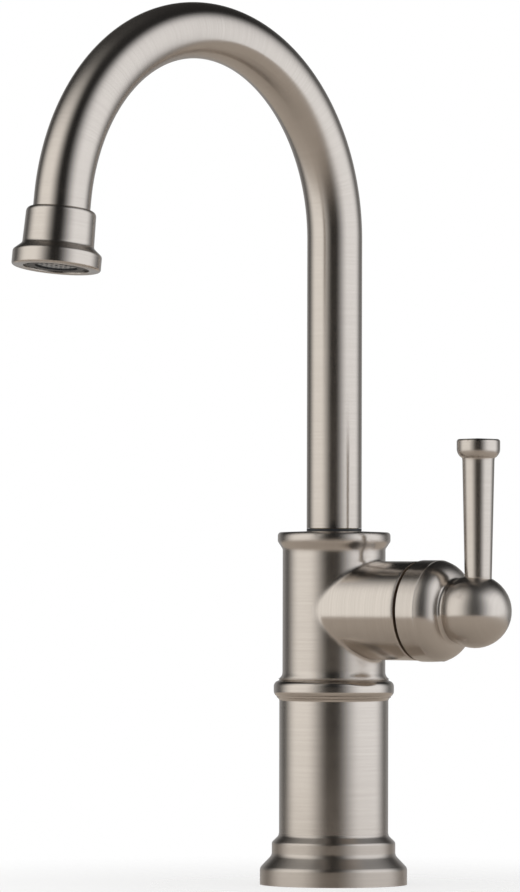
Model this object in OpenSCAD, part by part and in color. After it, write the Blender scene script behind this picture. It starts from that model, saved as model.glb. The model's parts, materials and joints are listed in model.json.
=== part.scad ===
// Gooseneck bar faucet with one side lever.
// Origin: centre of the base face, on the axis that the spout turns about.
// The spout points to -Y, the handle to +X. Millimetres.

/* [Base flange] */
// How far the flange stands out round the pedestal
flange_w = 7.7; // [5.5:0.1:14]
// Height of the flange's upright edge
flange_edge_h = 5.8; // [3:0.1:8]
// How far the upright band half way up the flange stands out
band_w = 2.9; // [2.2:0.1:4.2]
// Height at which the band starts
band_z = 13; // [12:0.1:14.5]
// Height of the band
band_h = 3.4; // [2:0.1:6]
// Height of the curve from the band to the pedestal
flange_neck_h = 4.2; // [3.8:0.1:6]
// Thickness of the gasket in the flange's underside
gasket_h = 1.2; // [0.8:0.1:2.5]

/* [Pedestal] */
// Outer radius of the pedestal
pedestal_r = 22; // [21.6:0.1:24.6]
// Wall of the pedestal
pedestal_wall = 4.8; // [3.4:0.1:5.4]
// Height of the joint between pedestal and valve body
joint_z = 82.6; // [78:0.2:88]
// How far the bead below that joint stands out
bead_w = 2.25; // [1.6:0.05:3.2]
// Distance from the joint down to the foot of the bead
bead_h = 8.7; // [8.2:0.1:12]

/* [Valve body] */
// Outer radius of the upright body
body_r = 20.75; // [20.3:0.05:21.4]
// Length of the neck that goes down into the pedestal
neck_h = 12; // [8:0.5:20]
// How far the collar round the spout stands out
collar_w = 2; // [1.5:0.05:4]
// Height of the collar's top face
collar_z = 142.4; // [138:0.2:150]
// Height of the collar, from the foot of its underside curve
collar_h = 7.8; // [7:0.1:10]
// Height of the handle's axis
boss_z = 110.5; // [108:0.5:112]
// Outer radius of the side boss
boss_r = 19.85; // [19.4:0.05:20.1]
// Distance from the spout's axis to the end of the side boss
boss_end = 42.5; // [42:0.1:46]

/* [Supply] */
// Distance of each supply inlet from the spout plane
inlet_y = 7.5; // [6:0.1:8.5]
// Distance of the inlets from the body axis towards the handle
inlet_x = 4; // [2:0.5:6]
// Drill radius of the supply inlet thread, M10 x 1
inlet_r = 4.5; // [4:0.1:4.9]
// Depth of the supply inlet thread
inlet_depth = 10; // [7:0.5:12]
// Drill radius of the fixing stud thread, M8
stud_r = 3.4; // [2.5:0.1:3.9]
// Depth of the fixing stud thread
stud_depth = 12; // [6:0.5:14]
// Distance from the body axis to the fixing stud
stud_x = -10.5; // [-12:0.1:-9]
// Thickness of the plug in the foot of the pedestal
plug_h = 16; // [15:0.5:24]
// Outer radius of the riser tubes
riser_r = 4; // [3:0.1:4.4]
// Wall of the riser tubes
riser_wall = 1; // [0.6:0.1:1.5]
// Height of the risers' upper ends
riser_top = 98; // [94:0.5:100]

/* [Spout] */
// Outer radius of the spout tube
tube_r = 11.1; // [10.9:0.05:11.15]
// Wall of the spout tube
tube_wall = 1; // [0.8:0.1:1.6]
// Radius of the gooseneck's centre line
arch_r = 79.8; // [50:0.2:110]
// Height of the arch's centre
arch_z = 260; // [180:1:340]
// How far round the tube is bent
arch_angle = 172.4; // [150:0.2:180]
// How far the spout is turned from square to the handle, seen from above
spout_turn = 6; // [-90:1:90]
// Radius of the spigot that turns in the body
spigot_r = 9.9; // [9.3:0.1:9.9]
// Wall of the spigot
spigot_wall = 2.6; // [2.4:0.1:3.4]
// Height of the spigot's lower end
spigot_z = 125; // [124.6:0.1:126]

/* [Outlet] */
// Distance from the end of the bend to the outlet's face
outlet_drop = 27.8; // [26:0.1:45]
// Radius of the ring round the outlet
ring_r = 17.3; // [16.6:0.1:20]
// Height of that ring
ring_h = 5.2; // [4:0.1:6]
// Height of the curve from the ring to the sleeve
flare_h = 4.4; // [3.8:0.1:6]
// Outer radius of the outlet sleeve
sleeve_r = 13.9; // [13.4:0.1:14.6]
// Height of the sleeve's top above the outlet's face
sleeve_h = 23.1; // [21:0.1:25]
// Radius of the recess in the outlet's face
recess_r = 12.8; // [12.6:0.1:13.2]
// Depth of the recess in the outlet's face
recess_h = 1.6; // [1:0.1:2.2]
// Radius of the aerator thread, M24 x 1
aerator_r = 12; // [11.6:0.1:12.4]
// Radius of the aerator's screen
screen_r = 8.3; // [6:0.1:9]

/* [Cartridge] */
// Outer radius of the mixing cartridge
cartridge_r = 17.3; // [16.5:0.1:17.6]
// Distance from the spout's axis to the cartridge's seat
seat_x = 13.5; // [13:0.1:13.8]
// Distance from the spout's axis to the pin that the stem tilts on
pivot_x = 31; // [30.5:0.1:31.5]
// Width across the flats of the stem
stem_w = 7; // [5:0.1:7.2]
// Radius of the ceramic discs
disc_r = 12; // [11.5:0.1:13]
// Thickness of the fixed ceramic disc
fixed_disc_h = 3; // [2:0.1:3.4]

/* [Handle] */
// Gap between the side boss and the handle
handle_gap = 1.6; // [1.6:0.1:2]
// Radius of the handle's band
cap_r = 20.3; // [20.2:0.05:21]
// Wall of the hollow skirt behind the band
skirt_wall = 1.2; // [0.8:0.1:1.3]
// Length of the handle's band
cap_w = 8.2; // [8:0.1:10]
// Radius of the ball that carries the lever
ball_r = 14.6; // [14:0.1:15.4]
// Distance from the spout's axis to the ball's centre
ball_x = 68.7; // [68:0.1:70]
// How far the lever stands outside the ball's centre
lever_offset = 1.5; // [0:0.1:3]
// Height of the lever's top above the handle's axis
lever_h = 68.8; // [55:0.2:95]
// Radius of the lever where it meets the ball
lever_foot_r = 5.4; // [4.8:0.1:6]
// Radius of the lever's shank under its knob
lever_neck_r = 6.4; // [5.8:0.1:7.4]
// Radius of the knob at the lever's top
knob_r = 8.65; // [8:0.05:10]

/* [Hidden] */
$fn = 96;

// Clearances
run_fit = 0.05;       // radial, between a shaft and its bore
slide_gap = 0.1;      // between faces that turn past each other
room = 0.3;           // round a piece that moves inside another
over = 0.01;          // how far a cutter reaches past what it cuts

// Colours
nickel = "#b9b0a6";
brass = "#c9a95b";
copper = "#b87350";
rubber = "#262626";
black_plastic = "#3a3a3c";
white_plastic = "#d9d6cf";
ceramic = "#e8e4dc";
steel = "#9a9c9e";

// Base flange
flange_r = pedestal_r + flange_w;
band_r = pedestal_r + band_w;
flange_round = 2.5;   // radius of its outer shoulder
flange_cove = 3;      // radius of the hollow above the shoulder
band_round = 1.5;
band_cove = 2;
flange_h = band_z + band_h + flange_neck_h;
flange_gap = 0.1;     // between the flange's upper lip and the pedestal
gasket_in = pedestal_r + 1;
gasket_out = flange_r - 1.5;
riser_in = 4;         // length of the risers' ends in the plug

// Pedestal, bead and joint
pedestal_bore_r = pedestal_r - pedestal_wall;
bead_r = pedestal_r + bead_w;
bead_round = 2.3;
bead_cove = 1.5;
bead_top = joint_z - 2.8;
bead_low = joint_z - 4.7;
flare_cove = 3.2;
flare_sweep = 60;     // how far that hollow runs round before the joint
flare_z = joint_z + 3; // height of that hollow's centre

// Valve body
collar_r = body_r + collar_w;
collar_round = 1.5;
collar_cove = 2;
collar_dome = 0.4;    // rise of the collar's top towards the tube
collar_edge = 3.7;    // height of the collar above its underside curve
boss_edge = 0.5;
passage_r = 3;
outlet_port_r = 3.5;
outlet_port_z = boss_z + 10;
supply_port_z = boss_z - 5;
socket_r = spigot_r + run_fit;
socket_z = outlet_port_z - outlet_port_r;
o_ring_r = 0.7;       // half the thickness of every O-ring
o_groove = 0.75;      // half the width of an O-ring's groove
riser_ring_z = joint_z - 6;

// Spout seat
glide_z = collar_z - 3;
glide_top = collar_z + 1.1;
glide_r = tube_r + run_fit;
spigot_in_tube = 9;
spout_groove_z = spigot_z + 2.6;
spout_groove_h = 3.2;
spout_groove_depth = 1.4;
spout_rings_z = [spigot_z + 6.8, spigot_z + 11];
set_screw_r = 2;
set_screw_in = 0.6;   // how far its body stays outside the spigot's socket
set_screw_key = 1.1;  // radius of its hexagon socket

// Spout end
outlet_y = -arch_r + arch_r * cos(arch_angle) - outlet_drop * sin(arch_angle);
outlet_z = arch_z + arch_r * sin(arch_angle) + outlet_drop * cos(arch_angle);
tube_seat = 12.5;     // height of the tube's end above the outlet's face
end_sizing = 0.1;     // the straight end is drawn this much thinner, to enter the sleeve
end_overlap = 0.3;    // how far the straight end runs into the bend
sleeve_taper = 0.3;
sleeve_round = 2;
ring_round = 0.9;
ring_shoulder = 1.4;
ring_cove = 1.8;
aerator_top = 11;
washer_h = 1;
washer_bore_r = tube_r - tube_wall - 1;
regulator_h = 3;
regulator_hole_r = 1;
regulator_hole_ring = 2.5; // its holes lie this far in from its rim
flange_z = 0.5;       // height of the aerator's flange above the outlet's face
key_w = 2.4;          // notches for the aerator's key
key_depth = 1.6;
screen_z = 1.3;       // height of the screen's edge
screen_h = 0.9;
screen_bulge = 0.9;   // its middle hangs this much lower
screen_curve = (screen_r * screen_r + screen_bulge * screen_bulge) / (2 * screen_bulge);
mesh_pitch = 2.6;
mesh_hole = 1.3;

// Cartridge, by distance from the spout's axis
seal_h = 1;
base_x = seat_x + 0.5;
base_h = 4;
fixed_disc_x = base_x + base_h;
moving_disc_x = fixed_disc_x + fixed_disc_h;
moving_disc_h = 2.4;
carrier_x = moving_disc_x + moving_disc_h;
carrier_h = 3.4;
shell_r = 14.6;       // inner radius of the cartridge's shell
shell_port_r = passage_r - 1;
port_step = 2;        // the outlet's hole in the fixed disc lies this much nearer its centre
shoulder_back = 0.6;
shoulder_x = pivot_x - shoulder_back; // where the shell narrows to hold the turret
shoulder_h = 3.6;
turret_r = 10.4;
turret_x = carrier_x + carrier_h + room;
turret_head = 7;      // how far the turret reaches past its pin
turret_end = pivot_x + turret_head;
turret_foot_r = 13;
stem_tip_gap = 1.9;   // clears the carrier's floor when the stem tilts
stem_tip_x = carrier_x + stem_tip_gap;
stem_slot = 6.6;      // half height of the slot that the stem tilts in
carrier_play = 0.7;   // the stem tilts inside the carrier's slot
carrier_slot = stem_w / 2 + carrier_play;
carrier_floor = 0.6;
disc_rim = 1.5;       // the fixed disc is this much larger, the moving one this much smaller
pin_inset = 0.2;
hot_ring_h = 2.2;
port_seal = 1;        // width of the seals round the ports
pin_r = 1.5;
nut_bore_r = 14;
nut_x = shoulder_x + shoulder_h;
nut_end = boss_end - 0.6;

// Handle
cap_x = boss_end + handle_gap;
cap_end = cap_x + cap_w;
cavity_end = cap_end - 2.3;
dome_r = 9;           // radius of the rounded shoulder between band and ball
dome_back = 1.7;      // how far the shoulder's centre lies behind the band's end
neck_round = 1.6;     // radius of the hollow between shoulder and ball
hub_core_r = 7.5;
hub_core_x = cap_x + 2.4;
stem_end = cap_end + 3.6;
stem_fit = 0.05;
grip_screw_x = cap_end - 1.1;
grip_screw_r = 2.5;
grip_screw_l = 8;
spigot_hole_r = 3.5;
lever_spigot_h = 8;
knob_h = 8.8;         // height of the knob above the shank
knob_edge = 1.1;
knob_flare = 4.2;     // radius of the curve that widens the shank to the knob
knob_flare_z = lever_h - knob_h + 4.6;
knob_crown = 0.3;
lever_in = 0.1;       // how far the lever's foot lies under the ball's skin
lever_seat = sqrt(pow(ball_r, 2) - pow(lever_foot_r + lever_offset, 2)) - lever_in;

// Points along an arc, from angle a to angle b
function arc(c, r, a, b, n = 8) =
    [for (i = [0:n]) c + r * [cos(a + (b - a) * i / n), sin(a + (b - a) * i / n)]];

// Slope of the straight stretch in the S-curve below
function lean(w, h, s) = atan2(h, s - w) - acos(s / norm([s - w, h]));

// Direction from one point to another, and the outer point at given distances from two points
function heading(from, to) = atan2(to[1] - from[1], to[0] - from[0]);
function touching(c1, d1, c2, d2) =
    let (v = c2 - c1, d = norm(v), a = (d1 * d1 - d2 * d2 + d * d) / (2 * d), h = sqrt(d1 * d1 - a * a))
    c1 + (a * v + h * [v[1], -v[0]]) / d;

// S-curve from (r0, z0) up to the smaller radius r1 at z1: a round shoulder and a hollow,
// each upright where it starts
function ogee(r0, z0, r1, z1, round, cove) =
    let (f = lean(r0 - r1, z1 - z0, round + cove))
    concat(arc([r0 - round, z0], round, 0, f), arc([r1 + cove, z1], cove, 180 + f, 180));

function flip(points) = [for (i = [len(points) - 1:-1:0]) points[i]];
function mirror_z(points, z) = [for (p = points) [p[0], 2 * z - p[1]]];

module turned(points) rotate_extrude() polygon(points);
module ring(r_out, r_in, z, h) translate([0, 0, z]) difference() {
    cylinder(r = r_out, h = h);
    translate([0, 0, -over]) cylinder(r = r_in, h = h + 2 * over);
}
module bore(r, z, h) translate([0, 0, z - over]) cylinder(r = r, h = h + 2 * over);
module o_ring(r, z) translate([0, 0, z]) rotate_extrude() translate([r, 0]) circle(r = o_ring_r);

// Frames: z runs along the handle's axis, or up from the outlet's face
module on_handle_axis() translate([0, 0, boss_z]) rotate([0, 90, 0]) children();
module on_spout() rotate([0, 0, -spout_turn]) children();
module on_outlet() on_spout() translate([0, outlet_y, outlet_z])
    rotate([arch_angle - 180, 0, 0]) children();
module at_inlets() for (side = [-1, 1]) translate([inlet_x, side * inlet_y, 0]) children();

module base_gasket() color(rubber) ring(gasket_out, gasket_in, 0, gasket_h);

module base_flange() color(nickel) difference() {
    turned(concat([[pedestal_r, 0], [flange_r, 0]],
        ogee(flange_r, flange_edge_h, band_r, band_z, flange_round, flange_cove),
        ogee(band_r, band_z + band_h, pedestal_r + flange_gap, flange_h, band_round, band_cove),
        [[pedestal_r, flange_h]]));
    ring(gasket_out, gasket_in, -over, gasket_h + over);
}

module pedestal() color(nickel) difference() {
    turned(concat([[0, 0], [pedestal_r, 0]],
        flip(arc([pedestal_r + bead_cove, joint_z - bead_h], bead_cove, 110, 180)),
        flip(arc([bead_r - bead_round, bead_low], bead_round, 0, -60)),
        arc([bead_r - bead_round, bead_top], bead_round, 0, 80),
        [[bead_r - bead_round, joint_z], [0, joint_z]]));
    bore(pedestal_bore_r, 0, joint_z);
}

module base_plug() color(brass) difference() {
    cylinder(r = pedestal_bore_r, h = plug_h);
    at_inlets() {
        bore(inlet_r, 0, inlet_depth);
        bore(riser_r - riser_wall, 0, plug_h);
        bore(riser_r, plug_h - riser_in, riser_in);
    }
    translate([stud_x, 0, 0]) bore(stud_r, 0, stud_depth);
}

module riser(side) color(copper) translate([inlet_x, side * inlet_y, 0])
    ring(riser_r, riser_r - riser_wall, plug_h - riser_in, riser_top - plug_h + riser_in);
module riser_hot() riser(-1);
module riser_cold() riser(1);
module riser_o_rings() color(rubber) at_inlets() o_ring(riser_r + run_fit + o_ring_r, riser_ring_z);

module valve_body_shell() {
    turned(concat([[0, joint_z - neck_h], [pedestal_bore_r, joint_z - neck_h],
        [pedestal_bore_r, joint_z], [bead_r - bead_round, joint_z]],
        flip(arc([body_r + flare_cove, flare_z], flare_cove, 180, 180 + flare_sweep)),
        mirror_z(flip(ogee(collar_r, 0, body_r, collar_h - collar_edge, collar_round, collar_cove)),
            (collar_z - collar_edge) / 2),
        arc([collar_r - collar_round, collar_z - collar_dome - collar_round], collar_round, 0, 80),
        [[tube_r, collar_z], [0, collar_z]]));
    on_handle_axis() turned(concat([[0, 0], [boss_r, 0]],
        arc([boss_r - boss_edge, boss_end - boss_edge], boss_edge, 0, 90), [[0, boss_end]]));
}

module valve_body() color(nickel) difference() {
    valve_body_shell();
    at_inlets() {
        bore(riser_r + run_fit, joint_z - neck_h, riser_top - joint_z + neck_h);
        bore(passage_r, riser_top, supply_port_z - riser_top);
        bore(riser_r + run_fit + 2 * o_ring_r + run_fit, riser_ring_z - o_groove, 2 * o_groove);
    }
    bore(socket_r, socket_z, collar_z - socket_z);
    bore(glide_r, glide_z, collar_z - glide_z);
    on_handle_axis() {
        bore(cartridge_r + slide_gap, seat_x, boss_end - seat_x);
        for (side = [-1, 1]) translate([boss_z - supply_port_z, side * inlet_y, 0])
            bore(passage_r, inlet_x, seat_x - inlet_x);
        translate([boss_z - outlet_port_z, 0, 0]) bore(outlet_port_r, 0, seat_x);
    }
    translate([0, 0, spout_groove_z]) rotate([-90, 0, 0]) bore(set_screw_r, 0, body_r);
}

module at_ports() {
    for (side = [-1, 1]) translate([boss_z - supply_port_z, side * inlet_y, 0]) children();
    translate([boss_z - outlet_port_z, 0, 0]) children();
}

module cartridge_seals() color(rubber) on_handle_axis() at_ports()
    ring(outlet_port_r + port_seal, outlet_port_r, seat_x, seal_h);

module cartridge_base() color(white_plastic) on_handle_axis() difference() {
    translate([0, 0, base_x]) cylinder(r = cartridge_r, h = base_h);
    at_ports() {
        bore(outlet_port_r + port_seal, base_x, seal_h - base_x + seat_x);
        bore(outlet_port_r, base_x, base_h);
    }
}

module fixed_disc() color(ceramic) on_handle_axis() difference() {
    translate([0, 0, fixed_disc_x]) cylinder(r = disc_r + disc_rim, h = fixed_disc_h);
    for (side = [-1, 1]) translate([boss_z - supply_port_z, side * inlet_y, 0])
        bore(shell_port_r, fixed_disc_x, fixed_disc_h);
    translate([boss_z - outlet_port_z + port_step, 0, 0]) bore(passage_r, fixed_disc_x, fixed_disc_h);
}

module moving_disc() color(ceramic) on_handle_axis() difference() {
    translate([0, 0, moving_disc_x]) cylinder(r = disc_r - disc_rim, h = moving_disc_h);
    translate([-passage_r, 0, 0]) bore(passage_r, moving_disc_x, moving_disc_h / 2);
}

module disc_carrier() color(black_plastic) on_handle_axis() difference() {
    translate([0, 0, carrier_x]) cylinder(r = disc_r - disc_rim, h = carrier_h);
    translate([-carrier_slot, -stem_w / 2 - room, carrier_x + carrier_floor])
        cube([2 * carrier_slot, stem_w + 2 * room, carrier_h]);
}

module cartridge_body() color(white_plastic) on_handle_axis() {
    ring(cartridge_r, shell_r, fixed_disc_x, shoulder_x - fixed_disc_x);
    ring(cartridge_r, turret_r + run_fit, shoulder_x, shoulder_h);
}

module retaining_nut() color(brass) on_handle_axis()
    ring(cartridge_r + slide_gap, nut_bore_r, nut_x, nut_end - nut_x);

module cartridge_turret() color(black_plastic) on_handle_axis() difference() {
    union() {
        translate([0, 0, turret_x]) cylinder(r = turret_foot_r, h = shoulder_x - slide_gap - turret_x);
        translate([0, 0, turret_x]) cylinder(r = turret_r, h = turret_end - turret_x);
    }
    translate([-stem_slot, -stem_w / 2 - room, turret_x - over])
        cube([2 * stem_slot, stem_w + 2 * room, turret_end - turret_x + 2 * over]);
    translate([0, 0, pivot_x]) rotate([90, 0, 0]) translate([0, 0, -turret_foot_r])
        cylinder(r = pin_r, h = 2 * turret_foot_r);
}

module hot_limit_ring() color("#b43a2e") on_handle_axis()
    ring(nut_bore_r - room, turret_r, nut_x + slide_gap, hot_ring_h);

module stem_pin() color(steel) on_handle_axis() translate([0, 0, pivot_x]) rotate([90, 0, 0])
    translate([0, 0, -turret_r + pin_inset]) cylinder(r = pin_r, h = 2 * (turret_r - pin_inset));

module cartridge_stem() color(brass) on_handle_axis() difference() {
    translate([-stem_w / 2, -stem_w / 2, stem_tip_x]) cube([stem_w, stem_w, stem_end - stem_tip_x]);
    translate([0, 0, pivot_x]) rotate([90, 0, 0]) translate([0, 0, -stem_w])
        cylinder(r = pin_r + run_fit, h = 2 * stem_w);
}

module glide_ring() color(black_plastic)
    ring(glide_r - run_fit, socket_r, glide_z, glide_top - glide_z);

module spout_set_screw() color(steel) translate([0, 0, spout_groove_z]) rotate([-90, 0, 0])
    difference() {
        union() {
            translate([0, 0, spigot_r - spout_groove_depth + room])
                cylinder(r = spout_groove_h / 2 - room, h = spout_groove_depth + set_screw_in);
            translate([0, 0, socket_r + set_screw_in])
                cylinder(r = set_screw_r, h = body_r - socket_r - 2 * set_screw_in);
        }
        translate([0, 0, body_r - 3 * set_screw_in]) cylinder(r = set_screw_key, h = 3, $fn = 6);
    }

module spout_spigot() color(brass) on_spout() difference() {
    union() {
        translate([0, 0, spigot_z]) cylinder(r = spigot_r, h = glide_top + slide_gap - spigot_z);
        translate([0, 0, glide_top + slide_gap]) cylinder(r = tube_r - tube_wall, h = spigot_in_tube);
    }
    bore(spigot_r - spigot_wall, spigot_z, glide_top + slide_gap + spigot_in_tube - spigot_z);
    ring(spigot_r + over, spigot_r - spout_groove_depth,
        spout_groove_z - spout_groove_h / 2, spout_groove_h);
    for (z = spout_rings_z) ring(spigot_r + over, socket_r - 2 * o_ring_r - 2 * run_fit,
        z - o_groove, 2 * o_groove);
}

module spout_o_rings() color(rubber) on_spout()
    for (z = spout_rings_z) o_ring(spigot_r - o_ring_r, z);

module tube_section() difference() {
    circle(r = tube_r);
    circle(r = tube_r - tube_wall);
}

module spout_tube() color(nickel) {
    on_spout() {
        ring(tube_r, tube_r - tube_wall, glide_top + slide_gap, arch_z - glide_top - slide_gap);
        translate([0, -arch_r, arch_z]) rotate([90, 0, 90])
            rotate_extrude(angle = arch_angle) translate([arch_r, 0]) tube_section();
    }
    on_outlet() ring(tube_r - end_sizing, tube_r - tube_wall + end_sizing,
        tube_seat, outlet_drop - tube_seat + end_overlap);
}

module outlet_sleeve() color(nickel) on_outlet() difference() {
    turned(concat([[0, 0]],
        arc([ring_r - ring_round, ring_round], ring_round, -90, 0),
        ogee(ring_r, ring_h, sleeve_r, ring_h + flare_h, ring_shoulder, ring_cove),
        arc([sleeve_r - sleeve_taper - sleeve_round, sleeve_h - sleeve_round], sleeve_round, 0, 90),
        [[0, sleeve_h]]));
    bore(recess_r, 0, recess_h);
    bore(aerator_r, 0, aerator_top + washer_h);
    bore(tube_r - tube_wall, aerator_top, tube_seat - aerator_top);
    bore(tube_r, tube_seat, sleeve_h - tube_seat);
}

module aerator_washer() color(rubber) on_outlet()
    ring(aerator_r, washer_bore_r, aerator_top, washer_h);

module flow_regulator() color(white_plastic) on_outlet() difference() {
    translate([0, 0, aerator_top - regulator_h]) cylinder(r = screen_r, h = regulator_h);
    for (i = [0:5]) rotate([0, 0, 60 * i]) translate([screen_r - regulator_hole_ring, 0, 0])
        bore(regulator_hole_r, aerator_top - regulator_h, regulator_h);
}

module aerator_housing() color(black_plastic) on_outlet() difference() {
    union() {
        translate([0, 0, recess_h]) cylinder(r = aerator_r, h = aerator_top - recess_h);
        translate([0, 0, flange_z]) cylinder(r = recess_r - room, h = recess_h - flange_z);
    }
    bore(screen_r, flange_z, aerator_top - flange_z);
    for (i = [0:5]) rotate([0, 0, 60 * i])
        translate([recess_r - room - key_depth, -key_w / 2, flange_z - over])
            cube([2 * key_depth, key_w, recess_h - flange_z]);
}

module aerator_screen() color(steel) on_outlet() difference() {
    turned(concat(arc([0, screen_z - screen_bulge + screen_curve], screen_curve,
        -90, -90 + asin(screen_r / screen_curve)),
        [[screen_r, screen_z + screen_h], [0, screen_z + screen_h]]));
    for (x = [-2:2]) for (y = [-2:2]) if (abs(x) + abs(y) < 4)
        translate([mesh_pitch * x, mesh_pitch * y, screen_z])
            cube([mesh_hole, mesh_hole, 4 * screen_h], center = true);
}

// Outline of the hub: the band, a rounded shoulder, a narrow hollow and the ball.
// The hollow's circle touches both the shoulder's and the ball's.
shoulder_c = [cap_r - dome_r, cap_end - dome_back];
ball_c = [0, ball_x];
neck_c = touching(shoulder_c, dome_r + neck_round, ball_c, ball_r + neck_round);
function hub_outline() =
    let (a = heading(shoulder_c, neck_c), b = heading(ball_c, neck_c))
    concat([[cap_r, cap_x], [cap_r, cap_end]],
        arc(shoulder_c, dome_r, asin(dome_back / dome_r), a),
        arc(neck_c, neck_round, a - 180, b - 180),
        arc(ball_c, ball_r, b, 90, 20));

module handle_hub() color(nickel) difference() {
    on_handle_axis() difference() {
        turned(concat([[0, cap_x]], hub_outline()));
        ring(cap_r - skirt_wall, hub_core_r, cap_x - over, cavity_end - cap_x);
        bore(hub_core_r + over, cap_x - over, hub_core_x - cap_x);
        translate([-stem_w / 2 - stem_fit, -stem_w / 2 - stem_fit, cap_x])
            cube([stem_w + 2 * stem_fit, stem_w + 2 * stem_fit, stem_end - cap_x]);
        translate([0, 0, grip_screw_x]) rotate([0, 90, 0]) bore(grip_screw_r, stem_w / 2, cap_r);
    }
    translate([ball_x + lever_offset, 0, boss_z]) {
        bore(lever_foot_r + stem_fit, lever_seat, ball_r);
        bore(spigot_hole_r, lever_seat - lever_spigot_h, ball_r);
    }
}

module handle_set_screw() color(steel) on_handle_axis() translate([0, 0, grip_screw_x])
    rotate([0, 90, 0]) translate([0, 0, stem_w / 2 + stem_fit]) cylinder(r = grip_screw_r - run_fit,
    h = grip_screw_l);

module handle_lever() color(nickel) translate([ball_x + lever_offset, 0, boss_z]) {
    translate([0, 0, lever_seat - lever_spigot_h]) cylinder(r = spigot_hole_r, h = lever_spigot_h + 1);
    turned(concat([[0, lever_seat], [lever_foot_r, lever_seat], [lever_neck_r, lever_h - knob_h]],
        arc([knob_r - knob_flare, knob_flare_z], knob_flare, -60, 0),
        arc([knob_r - knob_edge, lever_h - knob_edge - knob_crown], knob_edge, 0, 75),
        [[0, lever_h]]));
}

base_gasket();
base_flange();
pedestal();
base_plug();
riser_hot();
riser_cold();
riser_o_rings();
valve_body();
cartridge_seals();
cartridge_base();
fixed_disc();
cartridge_body();
retaining_nut();
glide_ring();
spout_set_screw();
spout_spigot();
spout_o_rings();
spout_tube();
outlet_sleeve();
aerator_washer();
flow_regulator();
aerator_housing();
aerator_screen();
cartridge_turret();
hot_limit_ring();
stem_pin();
disc_carrier();
moving_disc();
cartridge_stem();
handle_hub();
handle_set_screw();
handle_lever();
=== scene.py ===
"""Gooseneck bar faucet with a side lever: its visible pieces, finishes and studio."""
import json
import math

import bpy
from bpy.props import FloatProperty, FloatVectorProperty, PointerProperty
from mathutils import Matrix, Vector


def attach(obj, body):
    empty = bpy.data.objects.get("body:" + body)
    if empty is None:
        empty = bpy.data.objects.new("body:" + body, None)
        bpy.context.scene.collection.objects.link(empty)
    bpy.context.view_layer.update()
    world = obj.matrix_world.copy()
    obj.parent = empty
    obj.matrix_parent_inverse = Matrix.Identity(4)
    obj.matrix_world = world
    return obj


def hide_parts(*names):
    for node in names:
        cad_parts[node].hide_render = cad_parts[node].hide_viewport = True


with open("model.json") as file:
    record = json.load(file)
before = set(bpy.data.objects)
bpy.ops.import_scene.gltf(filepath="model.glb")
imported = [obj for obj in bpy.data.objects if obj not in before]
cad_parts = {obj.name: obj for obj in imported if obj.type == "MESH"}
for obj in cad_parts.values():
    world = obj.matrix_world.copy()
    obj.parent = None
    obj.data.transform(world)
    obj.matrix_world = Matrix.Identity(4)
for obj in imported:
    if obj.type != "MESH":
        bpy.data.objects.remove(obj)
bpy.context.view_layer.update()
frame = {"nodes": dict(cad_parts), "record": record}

bl_info = {
    "name": "Gooseneck bar faucet",
    "version": (1, 0, 0),
    "blender": (4, 5, 0),
    "location": "View3D > Sidebar > Faucet",
    "description": "Models a bar faucet with a turning spout and a side lever",
    "category": "Add Mesh",
}

# Lengths are in metres, and angles in degrees where a comment says so.
ARC_STEP = 6.0  # degrees of arc between two points of an outline
TURN_STEPS = 144  # faces round a turned piece
TUBE_SIDES = 96  # faces round the spout tube
ARCH_STEPS = 110  # faces along the bend
RISE_STEP = 0.004  # length of a face along the upright tube
DROP_STEPS = 4  # faces along the tube past the bend
HOLE_SIDES = 48  # faces round a drilled hole
WALL_STEP = 0.0015  # longest face along a turned wall
MERGE = 1e-6  # points closer than this are one
NEAR = 0.0001  # a face this close to a plane or a wall belongs to it
EDGE_ANGLE = math.radians(28)  # sharper edges are broken
SMOOTH_ANGLE = math.radians(33)  # sharper edges stay sharp in the shading
UP = Vector((0, 0, 1))
RIGHT = Vector((1, 0, 0))
BASE = Vector((0, 0, 0))  # centre of the base face
BEAD_ROUND = 0.0023  # rounding of the pedestal's bead
SOCKET_R = 0.00995  # radius of the spout's socket in the body
ROOM_X = 0.0135  # distance from the spout's axis to the floor of the cartridge's room


# ---------------------------------------------------------------- colours and nodes


def linear(code):
    """An sRGB hex colour as linear RGBA."""
    values = [int(code[i : i + 2], 16) / 255 for i in (1, 3, 5)]
    return [v / 12.92 if v <= 0.04045 else ((v + 0.055) / 1.055) ** 2.4 for v in values] + [1.0]


def length(name, description, millimetres):
    """A length property with its default in millimetres."""
    return FloatProperty(name=name, description=description, default=millimetres / 1000, unit="LENGTH")


def angle(name, description, degrees):
    """An angle property with its default in degrees."""
    default = math.radians(degrees)
    return FloatProperty(name=name, description=description, default=default, unit="ROTATION")


def colour(name, description, code):
    """A colour property with its default as an sRGB hex value."""
    return FloatVectorProperty(
        name=name, description=description, default=linear(code), size=4, subtype="COLOR", min=0, max=1
    )


def set_inputs(tree, node, inputs):
    """Link an input that is given a socket, or a node's first one, and set any other as a value."""
    for key, value in inputs.items():
        if isinstance(value, bpy.types.Node):
            value = value.outputs[0]
        if isinstance(value, bpy.types.NodeSocket):
            tree.links.new(value, node.inputs[key])
        else:
            node.inputs[key].default_value = value


def add_node(tree, kind, inputs=None, **settings):
    """Add one node with its settings and its inputs."""
    node = tree.nodes.new(kind)
    for key, value in settings.items():
        setattr(node, key, value)
    set_inputs(tree, node, inputs or {})
    return node


# ---------------------------------------------------------------- properties


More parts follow.
